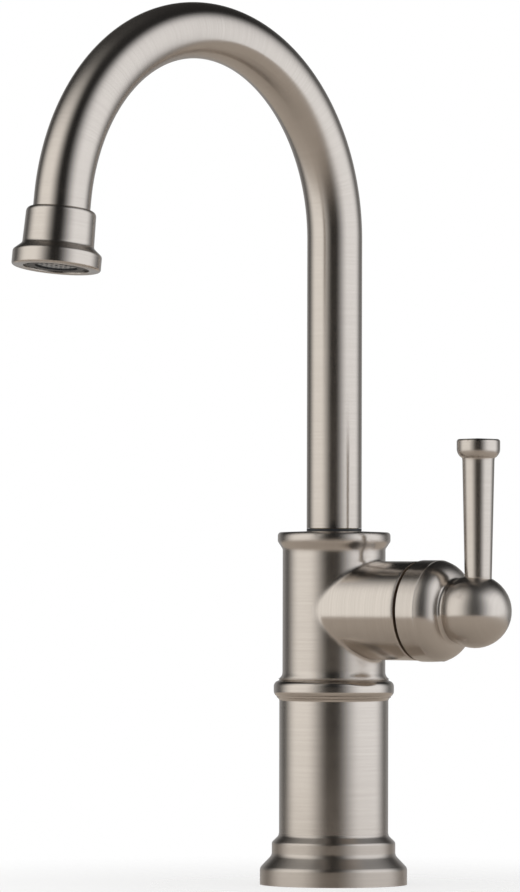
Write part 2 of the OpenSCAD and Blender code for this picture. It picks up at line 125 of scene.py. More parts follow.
class FaucetSizes(bpy.types.PropertyGroup):
    """Sizes of the pieces that show"""

    flange_r: length("Flange radius", "Radius of the base flange on the deck", 29.69)
    flange_edge_h: length("Flange edge", "Height of the flange's upright edge", 5.8)
    band_r: length("Flange band radius", "Radius of the band half way up the flange", 24.9)
    band_z: length("Flange band foot", "Height at which the band starts", 13.0)
    band_h: length("Flange band height", "Height of the band", 3.4)
    flange_h: length("Flange height", "Height of the whole flange", 20.6)
    pedestal_r: length("Pedestal radius", "Outer radius of the pedestal", 22.0)
    pedestal_bore_r: length("Pedestal bore", "Radius of the pedestal's bore", 17.2)
    joint_z: length("Joint height", "Height of the joint between pedestal and body", 82.6)
    bead_r: length("Bead radius", "Outer radius of the bead below the joint", 24.25)
    bead_h: length("Bead height", "Distance from the joint to the foot of the bead", 8.7)
    body_r: length("Body radius", "Outer radius of the upright body", 20.75)
    collar_r: length("Collar radius", "Outer radius of the collar round the spout", 22.75)
    collar_z: length("Collar top", "Height of the collar's top face", 142.4)
    spout_screw_z: length("Spout screw", "Height of the set screw at the back that holds the spout", 127.6)
    spout_screw_r: length("Spout screw radius", "Radius of that screw's hole", 2.0)
    boss_z: length("Boss height", "Height of the handle's axis", 110.5)
    boss_r: length("Boss radius", "Outer radius of the side boss", 19.85)
    boss_end: length("Boss end", "Distance from the spout's axis to the boss's end", 42.5)
    cartridge_r: length("Cartridge bore", "Radius of the bore for the cartridge", 17.4)
    tube_r: length("Tube radius", "Outer radius of the spout tube", 11.1)
    tube_wall: length("Tube wall", "Wall of the spout tube", 1.0)
    tube_foot: length("Tube foot", "Height of the tube's lower end", 143.6)
    arch_r: length("Arch radius", "Radius of the gooseneck's centre line", 79.8)
    arch_z: length("Arch height", "Height of the arch's centre", 260.0)
    arch_angle: angle("Arch angle", "How far the tube is bent", 172.4)
    spout_turn: angle("Spout turn", "How far the spout is turned from -Y", 6)
    outlet_drop: length("Outlet drop", "Distance from the bend's end to the outlet's face", 27.8)
    tube_seat: length("Tube seat", "Height of the tube's end above the outlet's face", 12.5)
    ring_r: length("Outlet ring radius", "Radius of the ring round the outlet", 17.3)
    ring_h: length("Outlet ring height", "Height of that ring", 5.2)
    sleeve_r: length("Sleeve radius", "Radius of the outlet sleeve", 13.9)
    sleeve_h: length("Sleeve height", "Height of the outlet sleeve", 23.1)
    recess_r: length("Outlet recess", "Radius of the recess in the outlet's face", 12.8)
    aerator_r: length("Aerator radius", "Radius of the aerator's seat", 12.0)
    cap_x: length("Handle start", "Distance from the spout's axis to the handle's edge", 44.1)
    cap_w: length("Handle band", "Length of the handle's band", 8.2)
    cap_r: length("Handle radius", "Radius of the handle's band", 20.3)
    ball_x: length("Ball place", "Distance from the spout's axis to the ball's centre", 68.7)
    ball_r: length("Ball radius", "Radius of the ball that carries the lever", 14.6)
    lever_x: length("Lever place", "Distance from the spout's axis to the lever's axis", 70.2)
    lever_h: length("Lever height", "Height of the lever's top above the handle's axis", 68.8)
    lever_foot_r: length("Lever foot", "Radius of the lever where it meets the ball", 5.4)
    lever_neck_r: length("Lever neck", "Radius of the lever under its knob", 6.4)
    knob_r: length("Knob radius", "Radius of the knob at the lever's top", 8.65)


class FaucetFinish(bpy.types.PropertyGroup):
    """Colours of the finishes and of the studio"""

    nickel: colour("Satin nickel", "Plated nickel, warm grey", "#cec6be")
    brass: colour("Brass", "Machined brass", "#c9a95b")
    # painted shade: a dark brown for the faces in the gap behind the handle, which are plated and only in
    # shade
    painted_shade: colour("Painted shade behind the handle", "Dark brown that paints the shade in the gap behind the handle", "#6a5846")
    copper: colour("Copper", "Drawn copper tube", "#b87350")
    rubber: colour("Rubber", "Nitrile rubber", "#262626")
    black_plastic: colour("Black acetal", "Moulded black acetal", "#2b2b2d")
    white_plastic: colour("White acetal", "Moulded natural acetal", "#d9d6cf")
    ceramic: colour("Ceramic", "Lapped alumina", "#e8e4dc")
    steel: colour("Stainless steel", "Drawn stainless steel", "#a9abad")
    red_plastic: colour("Red acetal", "Moulded red acetal", "#b43a2e")
    table: colour("Table", "Warm grey top of the table, as the metal shows it", "#c7beb4")
    left_light: colour("Left light", "Slightly warm soft box", "#fffefb")
    right_light: colour("Right light", "Slightly cool soft box", "#f8fbff")
    floor: colour("Floor", "Pale studio floor", "#efeeec")


# ---------------------------------------------------------------- outlines


def arc(centre, radius, start, end):
    """Points along an arc in an outline's plane, angles in degrees."""
    count = max(2, math.ceil(abs(end - start) / ARC_STEP))
    angles = [math.radians(start + (end - start) * i / count) for i in range(count + 1)]
    return [(centre[0] + radius * math.cos(a), centre[1] + radius * math.sin(a)) for a in angles]


def ogee(r0, z0, r1, z1, shoulder, cove):
    """S-curve from radius r0 at z0 to the smaller radius r1 at z1: a round shoulder and a hollow."""
    w, h, s = r0 - r1, z1 - z0, shoulder + cove
    lean = math.degrees(math.atan2(h, s - w) - math.acos(s / math.hypot(s - w, h)))
    return arc((r0 - shoulder, z0), shoulder, 0, lean) + arc((r1 + cove, z1), cove, 180 + lean, 180)


def touching(c1, d1, c2, d2):
    """The outer point at distance d1 from c1 and d2 from c2."""
    dx, dy = c2[0] - c1[0], c2[1] - c1[1]
    d = math.hypot(dx, dy)
    a = (d1 * d1 - d2 * d2 + d * d) / (2 * d)
    h = math.sqrt(d1 * d1 - a * a)
    return (c1[0] + (a * dx + h * dy) / d, c1[1] + (a * dy - h * dx) / d)


def heading(start, end):
    """Direction from one point to another, in degrees."""
    return math.degrees(math.atan2(end[1] - start[1], end[0] - start[0]))


def stepped(points):
    """The outline with every long stretch cut into short ones."""
    result = [points[0]]
    for p, q in zip(points, points[1:]):
        parts = max(1, math.ceil(math.dist(p, q) / WALL_STEP))
        for i in range(1, parts + 1):
            result.append(tuple(a + (b - a) * i / parts for a, b in zip(p, q)))
    return result


# ---------------------------------------------------------------- modelling


def deselect():
    """Leave edit mode, with nothing selected."""
    if bpy.context.object and bpy.context.object.mode != "OBJECT":
        bpy.ops.object.mode_set(mode="OBJECT")
    bpy.ops.object.select_all(action="DESELECT")


def pick(obj):
    """Select one piece alone."""
    deselect()
    bpy.context.view_layer.objects.active = obj
    obj.select_set(True)


def close_up(obj, name):
    """Merge doubled points, point the faces outwards and name the piece."""
    bpy.ops.mesh.select_all(action="SELECT")
    bpy.ops.mesh.remove_doubles(threshold=MERGE)
    bpy.ops.mesh.normals_make_consistent(inside=False)
    bpy.ops.object.mode_set(mode="OBJECT")
    obj.name = obj.data.name = name
    return obj


def spun(name, places, closed, centre, axis):
    """Draw an outline by extruding one point from place to place, and spin it round an axis."""
    deselect()
    bpy.ops.mesh.primitive_plane_add(size=WALL_STEP)
    obj = bpy.context.object
    bpy.ops.object.mode_set(mode="EDIT")
    bpy.ops.mesh.select_all(action="SELECT")
    bpy.ops.mesh.merge(type="CENTER")
    bpy.ops.transform.translate(value=places[0])
    route = places + places[:1] if closed else places
    for p, q in zip(route, route[1:]):
        bpy.ops.mesh.extrude_vertices_move(TRANSFORM_OT_translate={"value": q - p})
    bpy.ops.mesh.select_all(action="SELECT")
    bpy.ops.mesh.spin(steps=TURN_STEPS, angle=math.tau, center=centre, axis=axis)
    return close_up(obj, name)


def turned(name, points, closed):
    """Turn an outline of (radius, height) points round the upright axis."""
    return spun(name, [Vector((r, 0, z)) for r, z in stepped(points)], closed, BASE, UP)


def turned_sideways(name, points, axis_z):
    """Turn an outline of (radius, distance) points round the level axis along X."""
    places = [Vector((x, 0, axis_z + r)) for r, x in stepped(points)]
    return spun(name, places, False, (0, 0, axis_z), RIGHT)


def apply_modifier(obj, kind, **settings):
    """Add a modifier with its settings and apply it."""
    pick(obj)
    bpy.ops.object.modifier_add(type=kind)
    modifier = obj.modifiers[-1]
    for key, value in settings.items():
        setattr(modifier, key, value)
    bpy.ops.object.modifier_apply(modifier=modifier.name)


def ease_edges(obj, width):
    """Break the sharp edges by a fine radius, as polishing does."""
    apply_modifier(obj, "BEVEL", width=width, segments=3, limit_method="ANGLE", angle_limit=EDGE_ANGLE)


def cut(obj, tool, operation):
    """Join a tool to the piece or cut it out, and delete the tool."""
    apply_modifier(obj, "BOOLEAN", object=tool, operation=operation, solver="EXACT")
    bpy.data.objects.remove(tool, do_unlink=True)


def drill(obj, radius, start, end):
    """Drill a round hole along a line between two points."""
    start, end = Vector(start), Vector(end)
    run = end - start
    deselect()
    bpy.ops.mesh.primitive_cylinder_add(
        vertices=HOLE_SIDES,
        radius=radius,
        depth=run.length,
        location=(start + end) / 2,
        rotation=run.to_track_quat("Z", "Y").to_euler(),
    )
    cut(obj, bpy.context.object, "DIFFERENCE")


def smooth(obj):
    """Shade a piece smooth up to its sharp edges, with the large faces kept true."""
    pick(obj)
    bpy.ops.object.shade_smooth_by_angle(angle=SMOOTH_ANGLE)
    apply_modifier(obj, "WEIGHTED_NORMAL", keep_sharp=True)


def seat(obj, matrix):
    """Move a piece to its place and put that place in its mesh."""
    obj.matrix_world = matrix
    pick(obj)
    bpy.ops.object.transform_apply(location=True, rotation=True, scale=True)


def finish_piece(obj, node, body, materials):
    """Give a piece its materials and let it stand for a CAD node."""
    obj.data.materials.clear()
    for material in materials:
        obj.data.materials.append(material)
    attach(obj, body)
    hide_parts(node)


# ---------------------------------------------------------------- materials


def new_material(name):
    """A material with nodes, and its node tree."""
    material = bpy.data.materials.new(name)
    material.use_nodes = True
    return material, material.node_tree


def spread(tree, noise, low, high):
    """Spread the values of a noise, most of which lie between 0.3 and 0.7, over a range."""
    inputs = {"Value": noise, "From Min": 0.3, "From Max": 0.7, "To Min": low, "To Max": high}
    return add_node(tree, "ShaderNodeMapRange", inputs)


def satin_nickel(context, name, axis, centre, attributes=None, roughness=0.2, brushed=0.55, fillet=0.0):
    """Nickel plate on brass, satin brushed in rings round an axis through a centre.

    The brushing spreads a reflection along the piece and keeps it sharp across. The real rings are
    a few hundredths of a millimetre wide. They are drawn 0.65 mm wide, about the finest that shows.
    attributes names the straightened place and the ring direction of a piece that is bent, and fillet
    is the radius to which the inner corners are shaded round.
    """
    streaks, closer = 30.0, 50.0  # streaks in a metre of ring, and how much closer the rings lie
    clouds, cloud_range = 60.0, 0.06  # dull spots in a metre, and the range of roughness they give
    groove, groove_share = 0.00002, 0.12  # height of the rings, and how strongly it shows
    material, tree = new_material(name)
    if attributes:
        offset, ring = [
            add_node(tree, "ShaderNodeAttribute", attribute_name=attribute).outputs["Vector"]
            for attribute in attributes
        ]
    else:
        place = add_node(tree, "ShaderNodeTexCoord").outputs["Object"]
        offset = add_node(tree, "ShaderNodeVectorMath", {0: place, 1: centre}, operation="SUBTRACT")
        ring = add_node(tree, "ShaderNodeVectorMath", {0: axis, 1: offset}, operation="CROSS_PRODUCT")
    along = add_node(tree, "ShaderNodeVectorMath", {0: offset, 1: axis}, operation="DOT_PRODUCT")
    height = along.outputs["Value"]
    upright = add_node(tree, "ShaderNodeVectorMath", {0: axis, "Scale": height}, operation="SCALE")
    stretch = {0: upright, 1: [closer] * 3, 2: offset}
    packed = add_node(tree, "ShaderNodeVectorMath", stretch, operation="MULTIPLY_ADD")
    brushing = {"Vector": packed, "Scale": streaks, "Detail": 4.0, "Roughness": 0.6}
    lines = add_node(tree, "ShaderNodeTexNoise", brushing).outputs["Fac"]
    haze = {"Vector": offset, "Scale": clouds, "Detail": 2.0}
    spots = add_node(tree, "ShaderNodeTexNoise", haze).outputs["Fac"]
    nickel = context.scene.faucet_finish.nickel[:3]
    tint = {0: nickel, "Scale": spread(tree, lines, 0.96, 1.03)}
    dullness = {0: spots, 1: cloud_range, 2: roughness - cloud_range / 2}
    relief = {"Strength": groove_share, "Distance": groove, "Height": lines}
    if fillet:
        relief["Normal"] = add_node(tree, "ShaderNodeBevel", {"Radius": fillet}, samples=8)
    shader_inputs = {
        "Base Color": add_node(tree, "ShaderNodeVectorMath", tint, operation="SCALE"),
        "Roughness": add_node(tree, "ShaderNodeMath", dullness, operation="MULTIPLY_ADD"),
        "Normal": add_node(tree, "ShaderNodeBump", relief),
        "Tangent": add_node(
            tree,
            "ShaderNodeVectorTransform",
            {"Vector": ring},
            vector_type="VECTOR",
            convert_from="OBJECT",
            convert_to="WORLD",
        ),
        "Metallic": 1.0,
        "Anisotropic": brushed,
        "Anisotropic Rotation": 0.25,  # a quarter turn: the gloss is drawn out across the rings
    }
    set_inputs(tree, tree.nodes["Principled BSDF"], shader_inputs)
    return material


def plain_finish(name, base, metallic, roughness, grain, contrast, grain_depth):
    """A material with a fine grain that shades its colour, its gloss and its surface.

    grain is the number of spots per metre, and grain_depth its height in metres.
    """
    grain_range = 0.12  # the range of roughness that the spots give
    material, tree = new_material(name)
    place = add_node(tree, "ShaderNodeTexCoord").outputs["Object"]
    speckle = {"Vector": place, "Scale": grain, "Detail": 3.0}
    spots = add_node(tree, "ShaderNodeTexNoise", speckle).outputs["Fac"]
    tint = {0: base[:3], "Scale": spread(tree, spots, 1 - contrast, 1 + contrast)}
    dullness = {0: spots, 1: grain_range, 2: roughness - grain_range / 2}
    relief = {"Strength": 0.5, "Distance": grain_depth, "Height": spots}
    shader_inputs = {
        "Base Color": add_node(tree, "ShaderNodeVectorMath", tint, operation="SCALE"),
        "Roughness": add_node(tree, "ShaderNodeMath", dullness, operation="MULTIPLY_ADD"),
        "Normal": add_node(tree, "ShaderNodeBump", relief),
        "Metallic": metallic,
    }
    set_inputs(tree, tree.nodes["Principled BSDF"], shader_inputs)
    return material


# ---------------------------------------------------------------- pieces


class FAUCET_OT_inner_finishes(bpy.types.Operator):
    """Give the fastenings, seals, cartridge and aerator their finishes"""

    bl_idname = "faucet.inner_finishes"
    bl_label = "Inner finishes"

    def execute(self, context):
        f = context.scene.faucet_finish
        # name, colour, metallic, roughness, grain per metre, its contrast and its depth
        looks = {
            # fine turning marks that leave a soft warm gloss
            "brass": ("Machined brass", f.brass, 1.0, 0.3, 900.0, 0.05, 0.00001),
            # dull drawing marks, a little uneven in colour
            "copper": ("Drawn copper tube", f.copper, 1.0, 0.35, 600.0, 0.07, 0.00001),
            # nearly no gloss, with a fine bloom
            "rubber": ("Moulded nitrile rubber", f.rubber, 0.0, 0.65, 1500.0, 0.1, 0.00003),
            # the waxy half gloss of a fine mould, in its three colours
            "black_plastic": ("Moulded black acetal", f.black_plastic, 0.0, 0.42, 1800.0, 0.06, 0.00002),
            "white_plastic": ("Moulded natural acetal", f.white_plastic, 0.0, 0.45, 1800.0, 0.03, 0.00002),
            "red_plastic": ("Moulded red acetal", f.red_plastic, 0.0, 0.4, 1800.0, 0.05, 0.00002),
            # lapped flat, so it is the smoothest of them
            "ceramic": ("Lapped alumina", f.ceramic, 0.0, 0.2, 2500.0, 0.02, 0.000005),
            # a cool grey gloss with fine drawing marks
            "steel": ("Drawn stainless steel", f.steel, 1.0, 0.32, 1200.0, 0.05, 0.00001),
        }
        finishes = {slot: plain_finish(*look) for slot, look in looks.items()}
        finishes["brushed_nickel"] = satin_nickel(context, "Satin nickel plate", UP, BASE)
        slots = {part["node"]: part["material_slot"] for part in frame["record"]["subparts"]}
        for node, obj in frame["nodes"].items():
            obj.data.materials.clear()
            obj.data.materials.append(finishes[slots[node]])
        return {"FINISHED"}


class FAUCET_OT_base_flange(bpy.types.Operator):
    """Turn the stepped flange that stands on the deck"""

    bl_idname = "faucet.base_flange"
    bl_label = "Base flange"

    def execute(self, context):
        s = context.scene.faucet_sizes
        gasket_in, gasket_out, gasket_h = s.pedestal_r + 0.001, s.flange_r - 0.0015, 0.0012
        top_r = s.pedestal_r + 0.0001
        outline = [(s.pedestal_r, 0), (gasket_in, 0), (gasket_in, gasket_h), (gasket_out, gasket_h)]
        outline += [(gasket_out, 0), (s.flange_r, 0)]
        outline += ogee(s.flange_r, s.flange_edge_h, s.band_r, s.band_z, shoulder=0.0025, cove=0.003)
        outline += ogee(s.band_r, s.band_z + s.band_h, top_r, s.flange_h, shoulder=0.0015, cove=0.002)
        outline += [(s.pedestal_r, s.flange_h)]
        obj = turned("base_flange_turned", outline, closed=True)
        ease_edges(obj, width=0.00015)
        smooth(obj)
        nickel = satin_nickel(context, "Satin nickel flange", UP, BASE, roughness=0.3, brushed=0.9)
        finish_piece(obj, "base_flange", "faucet_body", [nickel])
        return {"FINISHED"}


class FAUCET_OT_pedestal(bpy.types.Operator):
    """Turn the pedestal with the bead at its top"""

    bl_idname = "faucet.pedestal"
    bl_label = "Pedestal"

    def execute(self, context):
        s = context.scene.faucet_sizes
        cove, bead_foot, bead_head = 0.0015, 0.0047, 0.0028  # the bead's two depths below the joint
        centre_r = s.bead_r - BEAD_ROUND
        outline = [(s.pedestal_bore_r, 0), (s.pedestal_r, 0)]
        outline += arc((s.pedestal_r + cove, s.joint_z - s.bead_h), cove, 180, 110)
        outline += arc((centre_r, s.joint_z - bead_foot), BEAD_ROUND, -60, 0)
        outline += arc((centre_r, s.joint_z - bead_head), BEAD_ROUND, 0, 80)
        outline += [(centre_r, s.joint_z), (s.pedestal_bore_r, s.joint_z)]
        obj = turned("pedestal_turned", outline, closed=True)
        ease_edges(obj, width=0.00008)
        smooth(obj)
        nickel = satin_nickel(context, "Satin nickel pedestal", UP, BASE, roughness=0.215, brushed=0.25)
        finish_piece(obj, "pedestal", "faucet_body", [nickel])
        return {"FINISHED"}


class FAUCET_OT_valve_body(bpy.types.Operator):
    """Turn the upright body and its side boss, and join them"""

    bl_idname = "faucet.valve_body"
    bl_label = "Valve body"

    def execute(self, context):
        obj = self.make_upright(context)
        self.add_boss(context, obj)
        smooth(obj)
        fillet = 0.003  # radius of the corner between the body and the boss
        body_look = dict(roughness=0.235, brushed=0.8, fillet=fillet)
        upright = satin_nickel(context, "Satin nickel body", UP, BASE, **body_look)
        boss_centre = (0, 0, context.scene.faucet_sizes.boss_z)
        sideways = satin_nickel(context, "Satin nickel boss", RIGHT, boss_centre, fillet=fillet)
        # painted shade: a dull brownish colour with hardly any gloss stands in for the shade behind the
        # handle, on metal that is plated like the rest
        painted_shade_look = dict(metallic=0.4, roughness=0.6, grain=900.0, contrast=0.1, grain_depth=0.00002)
        painted_shade = plain_finish("Painted shade on the boss's end", context.scene.faucet_finish.painted_shade, **painted_shade_look)
        materials = [upright, sideways, painted_shade]
        finish_piece(obj, "valve_body", "faucet_body", materials)
        self.share_materials(context, obj, materials.index(sideways), materials.index(painted_shade))
        return {"FINISHED"}

    def make_upright(self, context):
        """The body from the neck in the pedestal to the collar, with the spout's socket."""
        s = context.scene.faucet_sizes
        neck_foot, flare, flare_z = s.joint_z - 0.012, 0.0032, s.joint_z + 0.003
        hollow_h, edge_h = 0.0041, 0.0037  # heights of the hollow under the collar and of its edge
        collar_round, round_z = 0.0015, s.collar_z - 0.0019
        glide_r, glide_z = s.tube_r + 0.00005, s.collar_z - 0.003
        socket_floor = s.boss_z + 0.0065
        under_collar = ogee(s.collar_r, 0, s.body_r, hollow_h, shoulder=0.0015, cove=0.002)
        outline = [(0, neck_foot), (s.pedestal_bore_r, neck_foot), (s.pedestal_bore_r, s.joint_z)]
        outline += [(s.bead_r - BEAD_ROUND, s.joint_z)]
        outline += arc((s.body_r + flare, flare_z), flare, 240, 180)
        outline += [(r, s.collar_z - edge_h - z) for r, z in reversed(under_collar)]
        outline += arc((s.collar_r - collar_round, round_z), collar_round, 0, 80)
        outline += [(glide_r, s.collar_z), (glide_r, glide_z), (SOCKET_R, glide_z)]
        outline += [(SOCKET_R, socket_floor), (0, socket_floor)]
        return turned("valve_body_turned", outline, closed=False)

    def add_boss(self, context, obj):
        """Join the boss, clear the cartridge's room and drill the hole of the spout's screw."""
        s = context.scene.faucet_sizes
        edge, play = 0.0002, 0.001
        outline = [(0, 0), (s.boss_r, 0)]
        outline += arc((s.boss_r - edge, s.boss_end - edge), edge, 0, 90) + [(0, s.boss_end)]
        cut(obj, turned_sideways("boss", outline, s.boss_z), "UNION")
        room_end = s.boss_end + play
        outline = [(0, ROOM_X), (s.cartridge_r, ROOM_X), (s.cartridge_r, room_end), (0, room_end)]
        cut(obj, turned_sideways("cartridge_room", outline, s.boss_z), "DIFFERENCE")
        inside, outside = SOCKET_R - play, s.body_r + play
        drill(obj, s.spout_screw_r, (0, inside, s.spout_screw_z), (0, outside, s.spout_screw_z))

    def share_materials(self, context, obj, boss_slot, painted_shade_slot):
        """Give the boss its own brushing, and paint shade on the faces round the cartridge and at the
        boss's end.
        """
        s = context.scene.faucet_sizes
        edge_depth = 0.0006  # a face this close to the boss's radius is its wall or its rounded edge
        for face in obj.data.polygons:
            x, y, z = face.center
            off_axis = math.hypot(y, z - s.boss_z)
            if x > s.boss_end - NEAR or (x > ROOM_X - NEAR and off_axis < s.cartridge_r + NEAR):
                # painted shade on the faces round the cartridge and at the boss's end
                face.material_index = painted_shade_slot
            elif x > 0 and abs(off_axis - s.boss_r) < edge_depth:
                face.material_index = boss_slot


class Bend:
    """The spout's bend, in the places and directions that lay it out.

    reach is the way that the spout goes, seen from above. end is the middle of the tube where the bend
    ends, and down the way that the tube runs from there.
    """

    def __init__(self, s):
        rise, run = math.sin(s.arch_angle), math.cos(s.arch_angle)
        self.reach = Vector((-math.sin(s.spout_turn), -math.cos(s.spout_turn), 0))
        self.axis = UP.cross(self.reach)
        self.centre = UP * s.arch_z + self.reach * s.arch_r
        self.end = self.centre + s.arch_r * (UP * rise - self.reach * run)
        self.down = UP * run + self.reach * rise


def straighten(obj, s, bend):
    """Store where each point would be if the tube were straight, so that the brushing follows the bend.

    The second attribute is the direction of the ring that runs through the point.
    """
    places, rings = [], []
    for vertex in obj.data.vertices:
        p = vertex.co
        inward = p - bend.centre
        aside = inward.dot(bend.axis)
        past_end = (p - bend.end).dot(bend.down)
        if p.z <= s.arch_z and math.hypot(p.x, p.y) < 2 * s.tube_r:
            forward, out = UP, bend.reach
            across, along = p.dot(out), p.z
        elif past_end > 0:
            forward, out = bend.down, bend.axis.cross(bend.down)
            across, along = (p - bend.end).dot(out), s.arch_z + s.arch_r * s.arch_angle + past_end
        else:
            flat = inward - bend.axis * aside
            turn = math.atan2(inward.z, -inward.dot(bend.reach))
            out = -flat.normalized()
            forward = bend.axis.cross(out)
            across, along = s.arch_r - flat.length, s.arch_z + s.arch_r * turn
        places += [across, aside, along]
        rings += list(forward.cross(out * across + bend.axis * aside).normalized())
    for name, values in (("straightened", places), ("ring", rings)):
        obj.data.attributes.new(name, "FLOAT_VECTOR", "POINT").data.foreach_set("vector", values)


class FAUCET_OT_spout_tube(bpy.types.Operator):
    """Draw the spout tube: a ring of wall, extruded up, bent over and run into the outlet"""

    bl_idname = "faucet.spout_tube"
    bl_label = "Spout tube"

    def execute(self, context):
        s = context.scene.faucet_sizes
        bend = Bend(s)
        deselect()
        foot, bore_r = (0, 0, s.tube_foot), s.tube_r - s.tube_wall
        bpy.ops.mesh.primitive_circle_add(vertices=TUBE_SIDES, radius=s.tube_r, location=foot)
        obj = bpy.context.object
        bpy.ops.object.transform_apply(location=True, rotation=True, scale=True)
        bpy.ops.object.mode_set(mode="EDIT")
        bpy.ops.mesh.primitive_circle_add(vertices=TUBE_SIDES, radius=bore_r, location=foot)
        bpy.ops.mesh.select_all(action="SELECT")
        bpy.ops.mesh.bridge_edge_loops()
        rise = s.arch_z - s.tube_foot
        steps = round(rise / RISE_STEP)
        for _ in range(steps):
            bpy.ops.mesh.extrude_region_move(TRANSFORM_OT_translate={"value": (0, 0, rise / steps)})
        bpy.ops.mesh.spin(steps=ARCH_STEPS, angle=-s.arch_angle, center=bend.centre, axis=bend.axis)
        drop = bend.down * ((s.outlet_drop - s.tube_seat) / DROP_STEPS)
        for _ in range(DROP_STEPS):
            bpy.ops.mesh.extrude_region_move(TRANSFORM_OT_translate={"value": drop})
        close_up(obj, "spout_tube_bent")
        straighten(obj, s, bend)
        smooth(obj)
        attributes = ("straightened", "ring")
        nickel = satin_nickel(
            context, "Satin nickel spout", UP, BASE, attributes, roughness=0.25, brushed=0.85
        )
        finish_piece(obj, "spout_tube", "spout", [nickel])
        return {"FINISHED"}


class FAUCET_OT_outlet(bpy.types.Operator):
    """Turn the flared sleeve at the spout's end"""

    bl_idname = "faucet.outlet"
    bl_label = "Outlet sleeve"

    def execute(self, context):
        s = context.scene.faucet_sizes
        edge, top_round, taper = 0.0009, 0.002, 0.0003
        recess_h, thread_h, flare_top = 0.0016, 0.012, s.ring_h + 0.0044
        top_r, bore_r = s.sleeve_r - taper - top_round, s.tube_r - s.tube_wall
        outline = [(s.recess_r, recess_h), (s.recess_r, 0)]
        outline += arc((s.ring_r - edge, edge), edge, -90, 0)
        outline += ogee(s.ring_r, s.ring_h, s.sleeve_r, flare_top, shoulder=0.0014, cove=0.0018)
        outline += arc((top_r, s.sleeve_h - top_round), top_round, 0, 90)
        outline += [(s.tube_r, s.sleeve_h), (s.tube_r, s.tube_seat), (bore_r, s.tube_seat)]
        outline += [(bore_r, thread_h), (s.aerator_r, thread_h), (s.aerator_r, recess_h)]
        obj = turned("outlet_sleeve_turned", outline, closed=True)
        ease_edges(obj, width=0.00015)
        place = self.face_frame(s)
        seat(obj, place)
        smooth(obj)
        up, centre = place.col[2][:3], place.translation[:]
        nickel = satin_nickel(context, "Satin nickel sleeve", up, centre, roughness=0.24, brushed=0.85)
        finish_piece(obj, "outlet_sleeve", "spout", [nickel])
        return {"FINISHED"}

    def face_frame(self, s):
        """The frame of the outlet's face: X is the bend's axis, and Z runs up the sleeve."""
        bend = Bend(s)
        up = -bend.down
        place = Matrix((bend.axis, up.cross(bend.axis), up)).transposed().to_4x4()
        place.translation = bend.end + bend.down * s.outlet_drop
        return place


class FAUCET_OT_handle(bpy.types.Operator):
    """Turn the handle's hub: a hollow band, a shoulder, a hollow and the ball"""

    bl_idname = "faucet.handle"
    bl_label = "Handle hub"

    def execute(self, context):
        s = context.scene.faucet_sizes
        cap_end = s.cap_x + s.cap_w
        skirt_r, skirt_end = s.cap_r - 0.0012, cap_end - 0.0023
        core_r, core_x = 0.0075, s.cap_x + 0.0024
        dome_r, dome_back, neck = 0.009, 0.0017, 0.0016
        dome, ball = (s.cap_r - dome_r, cap_end - dome_back), (0, s.ball_x)
        hollow = touching(dome, dome_r + neck, ball, s.ball_r + neck)
        to_dome, to_ball = heading(dome, hollow), heading(ball, hollow)
        outline = [(0, core_x), (core_r, core_x), (core_r, skirt_end), (skirt_r, skirt_end)]
        outline += [(skirt_r, s.cap_x), (s.cap_r, s.cap_x), (s.cap_r, cap_end)]
        outline += arc(dome, dome_r, math.degrees(math.asin(dome_back / dome_r)), to_dome)
        outline += arc(hollow, neck, to_dome - 180, to_ball - 180)
        outline += arc(ball, s.ball_r, to_ball, 90)
        obj = turned_sideways("handle_hub_turned", outline, s.boss_z)
        ease_edges(obj, width=0.00012)
        screw_x, screw_r, screw_depth, play = cap_end - 0.0011, 0.0025, 0.0035, 0.002
        hole_top, hole_foot = s.boss_z - screw_depth, s.boss_z - s.cap_r - play
        drill(obj, screw_r, (screw_x, 0, hole_top), (screw_x, 0, hole_foot))
        smooth(obj)
        nickel = satin_nickel(
            context, "Satin nickel handle", RIGHT, (0, 0, s.boss_z), roughness=0.26, brushed=0.75
        )
        finish_piece(obj, "handle_hub", "handle", [nickel])
        return {"FINISHED"}


class FAUCET_OT_lever(bpy.types.Operator):
    """Turn the lever: a tapered shank with a flared knob"""

    bl_idname = "faucet.lever"
    bl_label = "Lever"

    def execute(self, context):
        s = context.scene.faucet_sizes
        far_edge = s.lever_foot_r + s.lever_x - s.ball_x  # of the foot, from the ball's centre
        sunk = 0.0001  # so that the foot closes on the ball all round
        foot_z = math.sqrt(s.ball_r**2 - far_edge**2) - sunk
        spigot_r, spigot_z = 0.0035, foot_z - 0.008
        knob_z, flare, flare_h = s.lever_h - 0.0088, 0.0042, 0.0046
        knob_edge, crown = 0.0011, 0.0003
        outline = [(0, spigot_z), (spigot_r, spigot_z), (spigot_r, foot_z), (s.lever_foot_r, foot_z)]
        outline += [(s.lever_neck_r, knob_z)]
        outline += arc((s.knob_r - flare, knob_z + flare_h), flare, -60, 0)
        outline += arc((s.knob_r - knob_edge, s.lever_h - knob_edge - crown), knob_edge, 0, 75)
        outline += [(0, s.lever_h)]
        obj = turned("handle_lever_turned", outline, closed=False)
        ease_edges(obj, width=0.0001)
        place = (s.lever_x, 0, s.boss_z)
        seat(obj, Matrix.Translation(place))
        smooth(obj)
        nickel = satin_nickel(context, "Satin nickel lever", UP, place, roughness=0.25, brushed=0.8)
        finish_piece(obj, "handle_lever", "handle", [nickel])
        return {"FINISHED"}


# ---------------------------------------------------------------- stage

